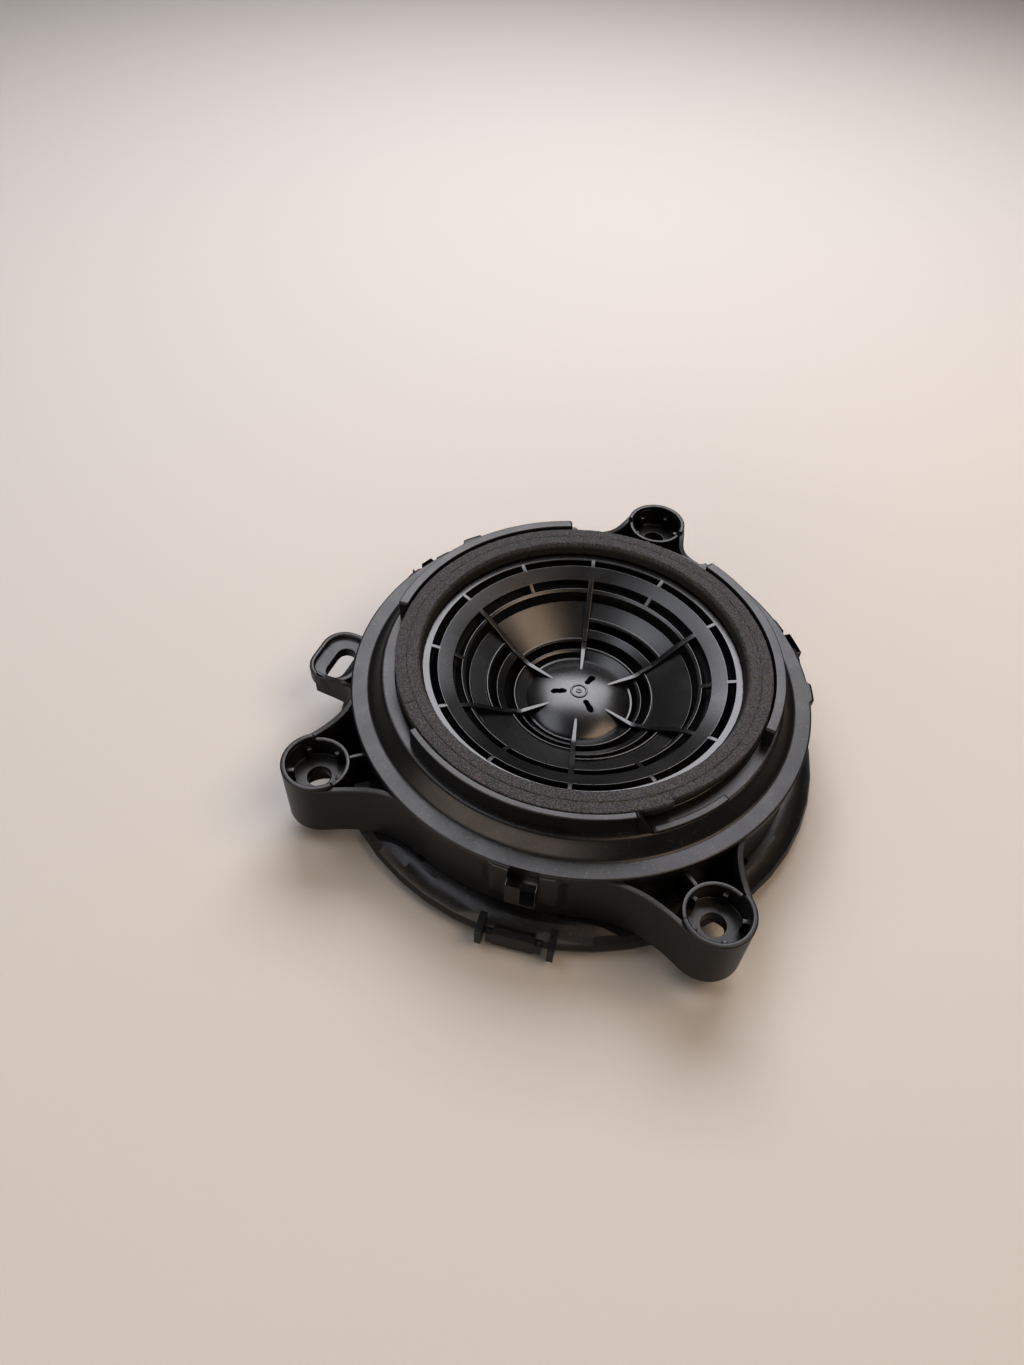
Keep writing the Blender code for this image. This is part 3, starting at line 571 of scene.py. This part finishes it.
lead_wire("lead_braid_a", 172.0, "lead_wire_a")
lead_wire("lead_braid_b", 188.0, "lead_wire_b")

# %% [markdown]
# The rear housing is right in shape already. What a real moulding adds is an
# eased edge, which catches the light as a thin line. A copy of the solid is
# merged, its flat faces are joined again, and a bevel eases its hard edges.

# %% Eased edges on the housing
def eased_copy(node, name, finish, width_mm):
    """A merged copy of a solid with its hard edges bevelled by width_mm."""
    bm = bmesh.new()
    bm.from_mesh(frame["nodes"][node].data)
    bmesh.ops.remove_doubles(bm, verts=bm.verts, dist=0.002 * MM)
    bmesh.ops.dissolve_limit(bm, angle_limit=math.radians(0.6), verts=bm.verts, edges=bm.edges)
    mesh = bpy.data.meshes.new(name)
    bm.to_mesh(mesh)
    bm.free()
    mesh.shade_smooth()
    mesh.set_sharp_from_angle(angle=math.radians(24.0))
    mesh.materials.append(finish)
    piece = bpy.data.objects.new(name, mesh)
    bpy.context.scene.collection.objects.link(piece)
    ease = piece.modifiers.new("eased edges", "BEVEL")
    ease.width = width_mm * MM
    ease.segments = 2
    ease.limit_method = "ANGLE"
    ease.angle_limit = math.radians(38.0)
    ease.use_clamp_overlap = True
    flat = piece.modifiers.new("flat faces stay flat", "WEIGHTED_NORMAL")
    flat.keep_sharp = True
    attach(piece, "chassis")
    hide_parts(node)
    print(name, "has", len(mesh.polygons), "faces before easing")
    return piece


eased_copy("rear_housing", "housing_moulding", housing_nylon, 0.25)

# %% [markdown]
# The mounting ring is the piece that the eye reads first, so it is made afresh.
# Its body is one turned outline: skirt, flange, a cone that leads up to a low
# rim, and the ledge inside. Every corner is eased, as the mould's are, and the
# flange's outer edge moves in and out with the angle for its teeth and notches.

# %% Ring: the turned body
def eased_outline(corners, ease, points=5):
    """Each corner of a closed outline becomes a short curve: (1-t)^2 A + 2t(1-t) P + t^2 B."""
    p = np.asarray(corners, float)
    before, after = np.roll(p, 1, 0) - p, np.roll(p, -1, 0) - p
    len_a, len_b = (np.linalg.norm(v, axis=1, keepdims=True) for v in (before, after))
    e = np.broadcast_to(np.asarray(ease, float), len(p))[:, None]
    a = p + before / len_a * np.minimum(e, 0.45 * len_a)
    b = p + after / len_b * np.minimum(e, 0.45 * len_b)
    t = np.linspace(0.0, 1.0, points)[None, :, None]
    curve = (1 - t) ** 2 * a[:, None] + 2 * t * (1 - t) * p[:, None] + t ** 2 * b[:, None]
    return curve.reshape(-1, 2)


def plateau(angle, low, high, soft):
    """1 between the angles low and high, 0 outside, with a smooth step of width soft."""
    up = np.clip((angle - low) / soft + 0.5, 0, 1)
    down = np.clip((high - angle) / soft + 0.5, 0, 1)
    return (3 * up ** 2 - 2 * up ** 3) * (3 * down ** 2 - 2 * down ** 3)


ring_corners = [(57.8, 8.3), (59.2, 8.3), (59.2, 24.6), (60.0, 24.9), (60.0, 27.0), (55.5, 27.0),
                (54.9, 27.5), (52.7, 30.3), (51.9, 31.2), (48.3, 31.2), (48.3, 30.6), (44.6, 30.6),
                (44.6, 28.8), (50.3, 28.8), (50.3, 25.9), (51.4, 24.8), (57.8, 24.6)]
ring_ease = [0.3, 0.3, 0.3, 0.2, 0.5, 0.5, 0.5, 0.6, 0.7, 0.25, 0.1, 0.3, 0.2, 0.2, 0.2, 0.3, 0.5]
outline = eased_outline(ring_corners, ring_ease)
theta = np.arange(0.0, 360.0, 0.5)
TOOTH_STEP = 0.9
edge = -1.6 * plateau(theta, 72.0, 110.5, TOOTH_STEP) + 1.0 * plateau(theta, 15.9, 21.8, TOOTH_STEP)
edge = edge + 1.9 * plateau(theta, 138.5, 144.5, TOOTH_STEP)
flange_edge = (outline[:, 0] > 59.25) & (outline[:, 1] > 24.65)
stack = np.repeat(outline[None], len(theta), 0)
stack[:, flange_edge, 0] += edge[:, None] * np.clip((outline[flange_edge, 0] - 59.2) / 0.4, 0, 1)
ring_parts = [turned(stack, 0.0, 360.0, 0.5)]
print("ring outline has", len(outline), "points,", int(flange_edge.sum()), "on the flange edge")

# %% [markdown]
# Low walls stand on the rim and hold the foam. They are plain arcs, eased at
# their ends. Each snap lip swells out of the skirt on either side of a window,
# in which a hook of the rear housing sits.

# %% Ring: rim walls, snap lips
RIM = 30.0
WALL_TOP = 36.8
FRONT_TOP = 36.5
LIP_TOP = 31.7
SNAPS = (37.3, 157.3, 277.3)
WINDOW_HALF = 3.6
SKIRT_R = 59.5


def arc_wall(r_in, r_out, start, end, z_low, z_high, ease=0.3, end_ease=0.6):
    """An eased rectangle of (r, z) carried from one angle to another."""
    section = eased_outline([(r_in, z_low), (r_out, z_low), (r_out, z_high), (r_in, z_high)], ease)
    return turned(section, start, end - start, 0.8, end_ease)


ring_parts += [arc_wall(48.6, 51.2, 113.4, 184.0, RIM, WALL_TOP),
               arc_wall(48.6, 51.2, -7.0, 65.3, RIM, WALL_TOP),
               arc_wall(48.6, 50.3, 233.4, 303.5, RIM, FRONT_TOP)]


def swept_down(start, sweep):
    """The front wall's end: its section slides down and outwards to the rim along a smooth step."""
    t = np.linspace(0.0, 1.0, 24)[:, None, None]
    step = 3 * t ** 2 - 2 * t ** 3
    tall = eased_outline([(48.6, RIM), (50.3, RIM), (50.3, FRONT_TOP), (48.6, FRONT_TOP)], 0.3)
    low = eased_outline([(50.2, RIM), (52.0, RIM), (52.0, LIP_TOP), (50.2, LIP_TOP)], 0.3)
    return turned(tall + (low - tall) * step, start, sweep, sweep / 23.0)


ring_parts += [swept_down(303.4, 4.6), arc_wall(50.2, 52.0, 307.9, 331.0, RIM, LIP_TOP)]


def snap_cheek(centre, side):
    """One side of a snap lip. Its bulge over the skirt fades as a cosine away from the window."""
    a = np.linspace(math.degrees(WINDOW_HALF / SKIRT_R), 10.5, 24)
    swell = np.where(a < 6.6, 1.0, 0.5 + 0.5 * np.cos(np.pi * np.clip((a - 6.6) / 3.9, 0, 1)))
    flat = eased_outline([(58.0, 14.2), (59.1, 14.2), (59.1, 26.2), (58.9, 26.9), (58.0, 26.9)], 0.15)
    full = eased_outline([(58.0, 14.2), (60.95, 15.4), (60.95, 25.4), (60.4, 26.75), (58.0, 26.9)],
                         [0.15, 0.6, 0.6, 0.6, 0.15])
    rows = flat + (full - flat) * swell[:, None, None]
    turn = np.radians(centre + side * a)[:, None]
    r, z = rows[..., 0], rows[..., 1]
    return solid_shell(np.stack([r * np.cos(turn), r * np.sin(turn), z], -1), False)


for centre in SNAPS:
    half = math.degrees(WINDOW_HALF / SKIRT_R)
    ring_parts += [snap_cheek(centre, 1), snap_cheek(centre, -1),
                   arc_wall(58.0, 60.7, centre - half, centre + half, 14.4, 16.4, 0.4, 0.0)]
print(len(ring_parts), "shells in the ring so far")

# %% [markdown]
# Each screw ear is a cup: a turned wall with a floor and a hole. Its outer half
# stands a little higher and wider, as the web's skin runs round it. Five square
# ribs inside grip the bush.

# %% Ring: the screw cups
# Each ear: its direction, its distance out, how far left and right its webs reach along the
# skirt, and how far its stiffening rib is skewed, all angles in degrees.
CUP_RIBS = 5
EARS = ((90.0, 70.8, 17.0, 17.0, 0.0),
        (225.0, 71.5, 20.0, 24.0, -6.0),
        (315.0, 71.5, 27.0, 19.0, 6.0))


def centre_of(angle, radius):
    """Plan position in mm of a point at that direction and radius."""
    return np.array([radius * math.cos(math.radians(angle)), radius * math.sin(math.radians(angle))])


def moved(shell, offset):
    """The same shell, shifted in plan by offset in mm."""
    verts, faces = shell
    return verts + np.array([offset[0], offset[1], 0.0]) * MM, faces


def cup(angle, radius):
    """A closed outline of (r, z) turned about the ear's own axis, higher and wider on its outer half."""
    low = eased_outline([(2.9, 15.8), (2.9, 18.6), (7.0, 18.6), (7.0, 24.1), (8.15, 24.1), (8.2, 7.2),
                         (7.0, 7.2), (7.0, 15.8)], [0.15, 0.25, 0.3, 0.35, 0.35, 0.3, 0.2, 0.3])
    high = eased_outline([(2.9, 15.8), (2.9, 18.6), (7.0, 18.6), (7.35, 25.2), (8.65, 25.2), (8.65, 7.2),
                          (7.0, 7.2), (7.0, 15.8)], [0.15, 0.25, 0.3, 0.4, 0.4, 0.4, 0.2, 0.3])
    a = np.arange(0.0, 360.0, 3.0)
    away = np.abs((a - angle + 180.0) % 360.0 - 180.0)
    share = plateau(away, -200.0, 102.0, 6.0)[:, None, None]
    return moved(turned(low + (high - low) * share, 0.0, 360.0, 3.0), centre_of(angle, radius))


def upright(plan, z_low, z_high, ease):
    """A plan outline pulled up from z_low to z_high; its top edge is eased by shrinking
    towards the middle."""
    plan = np.asarray(plan, float)
    middle, half = plan.mean(0), np.ptp(plan, axis=0).min() / 2
    turn = np.linspace(0.0, math.pi / 2, 4)
    shrink = np.concatenate([[1.0, 1.0], 1.0 - ease * (1.0 - np.cos(turn[1:])) / half])
    z = np.concatenate([[z_low, z_high - ease], z_high - ease + ease * np.sin(turn[1:])])
    rows = middle + (plan - middle) * shrink[:, None, None]
    heights = np.broadcast_to(z[:, None, None], rows.shape[:2] + (1,))
    return solid_shell(np.concatenate([rows, heights], -1), False)


for angle, radius, *_ in EARS:
    ring_parts.append(cup(angle, radius))
    for k in range(CUP_RIBS):
        turn = math.radians(angle + 58.0 + 72.0 * k)
        rib = eased_outline([(5.6, -0.6), (7.3, -0.6), (7.3, 0.6), (5.6, 0.6)], 0.12, 4)
        spin = np.array([[math.cos(turn), math.sin(turn)], [-math.sin(turn), math.cos(turn)]])
        ring_parts.append(moved(upright(rib @ spin, 18.3, 22.6, 0.12), centre_of(angle, radius)))
print(len(EARS), "cups with", len(EARS) * CUP_RIBS, "ribs")

# %% [markdown]
# Webs tie each cup to the skirt. In plan they are S-curves that leave the skirt
# along its tangent and meet the cup along its side, so a wall is carried along a
# Bezier curve while its top edge runs down from the flange to the cup.

# %% Ring: webs, stiffening ribs and lug
def plan_curve(p0, p1, p2, p3, count=28):
    """Cubic Bezier: (1-t)^3 P0 + 3t(1-t)^2 P1 + 3t^2(1-t) P2 + t^3 P3."""
    t = np.linspace(0.0, 1.0, count)[:, None]
    return ((1 - t) ** 3 * np.asarray(p0) + 3 * t * (1 - t) ** 2 * np.asarray(p1)
            + 3 * t ** 2 * (1 - t) * np.asarray(p2) + t ** 3 * np.asarray(p3))


def wall_along(path, thickness, z_low, tops, ease=0.3):
    """A rounded section carried along a plan path; its upper half follows tops and its lower half z_low."""
    along = np.gradient(path, axis=0)
    along /= np.linalg.norm(along, axis=1, keepdims=True)
    across = np.stack([-along[:, 1], along[:, 0]], -1)
    section = rounded_section(thickness, 4.0, ease)
    tops = np.broadcast_to(tops, len(path))[:, None]
    z = np.where(section[:, 1] > 0, tops - 2.0 + section[:, 1], z_low + 2.0 + section[:, 1])
    plan = path[:, None, :] + across[:, None, :] * section[None, :, :1]
    return solid_shell(np.concatenate([plan, z[..., None]], -1), False)


def web(angle, radius, side, reach):
    """From the skirt's tangent at reach degrees away to the side of the cup."""
    start, touch = angle + side * reach, angle + side * 72.0
    p0, p3 = centre_of(start, 58.4), centre_of(angle, radius) + centre_of(touch, 7.95)
    pull = 0.42 * np.linalg.norm(p0 - p3)
    p1 = p0 + pull * centre_of(start - side * 90.0, 1.0)
    p2 = p3 - pull * centre_of(touch - side * 90.0, 1.0)
    round_cup = np.radians(touch - side * np.linspace(6.0, 42.0, 7))[:, None]
    hug = centre_of(angle, radius) + 7.9 * np.concatenate([np.cos(round_cup), np.sin(round_cup)], 1)
    path = np.concatenate([plan_curve(p0, p1, p2, p3), hug])
    fall = np.clip(np.linspace(0.0, 1.4, len(path)), 0, 1)
    return wall_along(path, 1.5, 7.2, 26.4 - 2.2 * (3 * fall ** 2 - 2 * fall ** 3))


for angle, radius, left, right, skew in EARS:
    ring_parts += [web(angle, radius, -1, left), web(angle, radius, 1, right)]
    middle, way = centre_of(angle, radius), centre_of(angle + 180.0 + skew, 1.0)
    spine = middle + way * np.linspace(7.5, 13.1, 8)[:, None]
    ring_parts.append(wall_along(spine, 1.2, 12.6, 23.8))


def round_box_radius(x0, x1, y0, y1, corner, middle, angles):
    """Distance from middle to a round-cornered rectangle, in each direction."""
    turn = np.linspace(0.0, math.pi / 2, 24)
    centres = ((x1 - corner, y1 - corner), (x0 + corner, y1 - corner),
               (x0 + corner, y0 + corner), (x1 - corner, y0 + corner))
    rim = np.concatenate([np.stack([cx + corner * np.cos(turn + k * math.pi / 2),
                                    cy + corner * np.sin(turn + k * math.pi / 2)], -1)
                          for k, (cx, cy) in enumerate(centres)])
    dense = np.concatenate([rim + (np.roll(rim, -1, 0) - rim) * f for f in (0.0, 0.25, 0.5, 0.75)]) - middle
    way, far = np.arctan2(dense[:, 1], dense[:, 0]), np.linalg.norm(dense, axis=1)
    order = np.argsort(way)
    return np.interp(angles, way[order], far[order], period=2 * math.pi)


slot_middle = np.array([-63.1, -16.6])
way = np.radians(np.arange(0.0, 360.0, 2.0))
slot_r = round_box_radius(-65.6, -60.6, -22.0, -11.2, 2.49, slot_middle, way)
pan_r = round_box_radius(-69.3, -58.6, -23.2, -7.5, 5.0, slot_middle, way)
lug_r = round_box_radius(-70.6, -56.8, -24.5, -6.2, 6.2, slot_middle, way)
levels = [(slot_r, 17.6), (slot_r, 19.9), (slot_r + 0.1, 20.2), (slot_r + 0.4, 20.3),
          (pan_r - 0.25, 20.3), (pan_r - 0.05, 20.45), (pan_r, 21.3), (pan_r + 0.15, 21.5),
          (pan_r + 0.4, 21.6), (lug_r - 0.4, 21.6), (lug_r - 0.1, 21.5), (lug_r, 21.2),
          (lug_r, 17.9), (lug_r - 0.3, 17.6)]
lug = np.stack([np.stack([slot_middle[0] + r * np.cos(way), slot_middle[1] + r * np.sin(way),
                          np.full(len(way), z)], -1) for r, z in levels], 1)
ring_parts.append(solid_shell(lug, True))
lug_web = plan_curve((-66.6, -23.4), (-63.0, -23.8), (-57.5, -23.6), (-54.3, -25.2), 16)
ring_parts.append(wall_along(lug_web, 1.6, 15.0, np.interp(np.linspace(0, 5, 16), range(6),
                                                           [21.6, 21.6, 22.0, 22.6, 23.0, 24.2])))
ring = build_piece("ring_moulding", ring_parts, ring_nylon, 40.0)
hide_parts("mounting_ring")

# %% [markdown]
# The windows and the mouths above them go right through, so they are cut with
# plain blocks. Cutting the ring itself keeps the opening true from every side.

# %% Ring: the snap windows
def radial_block(centre, r_in, r_out, half, z_low, z_high):
    """An upright block at one direction, as a cutter."""
    out, side = centre_of(centre, 1.0), centre_of(centre + 90.0, 1.0)
    corners = ((r_in, -half), (r_out, -half), (r_out, half), (r_in, half))
    plan = np.array([out * r + side * t for r, t in corners])
    rows = np.stack([np.column_stack([plan, np.full(4, z)]) for z in (z_low, z_high)])
    return solid_shell(rows, False)


for centre in SNAPS:
    for shell in (radial_block(centre, 56.0, 63.0, WINDOW_HALF, 16.4, 24.4),
                  radial_block(centre, SKIRT_R, 63.0, 3.4, 17.1, 28.0)):
        cut_away(ring, build_piece("window_block", [shell], ring_nylon))
print("ring after windows has", len(ring.data.polygons), "faces")

# %% [markdown]
# An eased edge only looks right when the flat beside it stays flat. Each face's
# area weighs its say in the shading, so broad flats win over narrow easings.

# %% Flats stay flat
for piece in (grille, dome, ring):
    flats = piece.modifiers.new("flats stay flat", "WEIGHTED_NORMAL")
    flats.keep_sharp = True
print("area-weighted shading on", grille.name, dome.name, ring.name)

# %% [markdown]
# The object lies on a plain matt floor, a mid grey that the light brings up to
# pale. It is one square, a hair below the object so that no faces share a plane.

# %% Floor
HALF_SIDE = 3.0
FLOOR_Z = -0.0002
floor_mesh = bpy.data.meshes.new("floor")
corners = ((-1, -1), (1, -1), (1, 1), (-1, 1))
floor_mesh.from_pydata([(x * HALF_SIDE, y * HALF_SIDE, FLOOR_Z) for x, y in corners], [], [(0, 1, 2, 3)])
floor_mat, floor_tree, floor_shader = new_material("painted_board_matt", Roughness=0.9)
floor_shader.inputs["Base Color"].default_value = linear("#9c9a97")
floor_mesh.materials.append(floor_mat)
floor = bpy.data.objects.new("floor", floor_mesh)
bpy.context.scene.collection.objects.link(floor)
print("floor", 2 * HALF_SIDE, "m square")

# %% [markdown]
# Four soft panels light it. Black plastic shows mostly what it mirrors, so each
# panel stands where one kind of surface reflects it: a cool one behind, like a
# window, a warm one to the side, a weak one overhead, and a low one in front
# that draws the near walls.

# %% Soft light
def soft_panel(name, azimuth, elevation, distance, width, height, watts, colour):
    """A wide, level area light seen from the object at that azimuth and elevation, facing the object."""
    lamp = bpy.data.lights.new(name, "AREA")
    lamp.shape = "RECTANGLE"
    lamp.size = width
    lamp.size_y = height
    lamp.energy = watts
    lamp.color = linear(colour)[:3]
    obj = bpy.data.objects.new(name, lamp)
    turn = math.radians(azimuth)
    lift = math.radians(elevation)
    obj.location = (distance * math.cos(lift) * math.cos(turn),
                    distance * math.cos(lift) * math.sin(turn),
                    distance * math.sin(lift))
    obj.rotation_euler = (math.pi / 2 - lift, 0.0, turn + math.pi / 2)
    bpy.context.scene.collection.objects.link(obj)
    return obj


soft_panel("window_behind", 106.0, 52.0, 0.8, 0.66, 0.5, 9.4, "#fbfaff")
soft_panel("warm_side", 358.0, 58.0, 0.9, 0.6, 0.42, 5.4, "#ffe3c6")
soft_panel("ceiling", 196.0, 66.0, 0.9, 0.5, 0.36, 2.6, "#f2f6ff")
soft_panel("low_front", 258.0, 15.0, 0.85, 1.3, 0.3, 6.6, "#fff0e2")

world = bpy.data.worlds.new("studio")
bpy.context.scene.world = world
world.use_nodes = True
world.node_tree.nodes["Background"].inputs["Color"].default_value = linear("#ece9e4")
world.node_tree.nodes["Background"].inputs["Strength"].default_value = 0.14
print("four soft panels and a faint", world.name, "light from all round")

# %% [markdown]
# The camera looks down from the near side, close enough for a strong
# perspective. A gamma below one deepens the blacks and a little more exposure
# keeps the floor pale.

# %% Camera
SENSOR_MM = 36.0
FOCAL_MM = 24.976
FLANGE_Z = 0.027
camera_data = bpy.data.cameras.new("camera")
camera_data.sensor_fit = "VERTICAL"
camera_data.sensor_height = SENSOR_MM
camera_data.lens = FOCAL_MM
camera_data.clip_start = 0.01
camera = bpy.data.objects.new("camera", camera_data)
camera.location = (0.03845, -0.16006, 0.21494)
camera.rotation_euler = [math.radians(v) for v in (40.385, -2.088, 22.252)]
bpy.context.scene.collection.objects.link(camera)
bpy.context.scene.camera = camera
bpy.context.scene.view_settings.view_transform = "Standard"
bpy.context.scene.view_settings.gamma = 0.75
bpy.context.scene.view_settings.exposure = 0.18
print("camera", round(math.dist(camera.location, (0, 0, FLANGE_Z)) / MM), "mm from the flange")
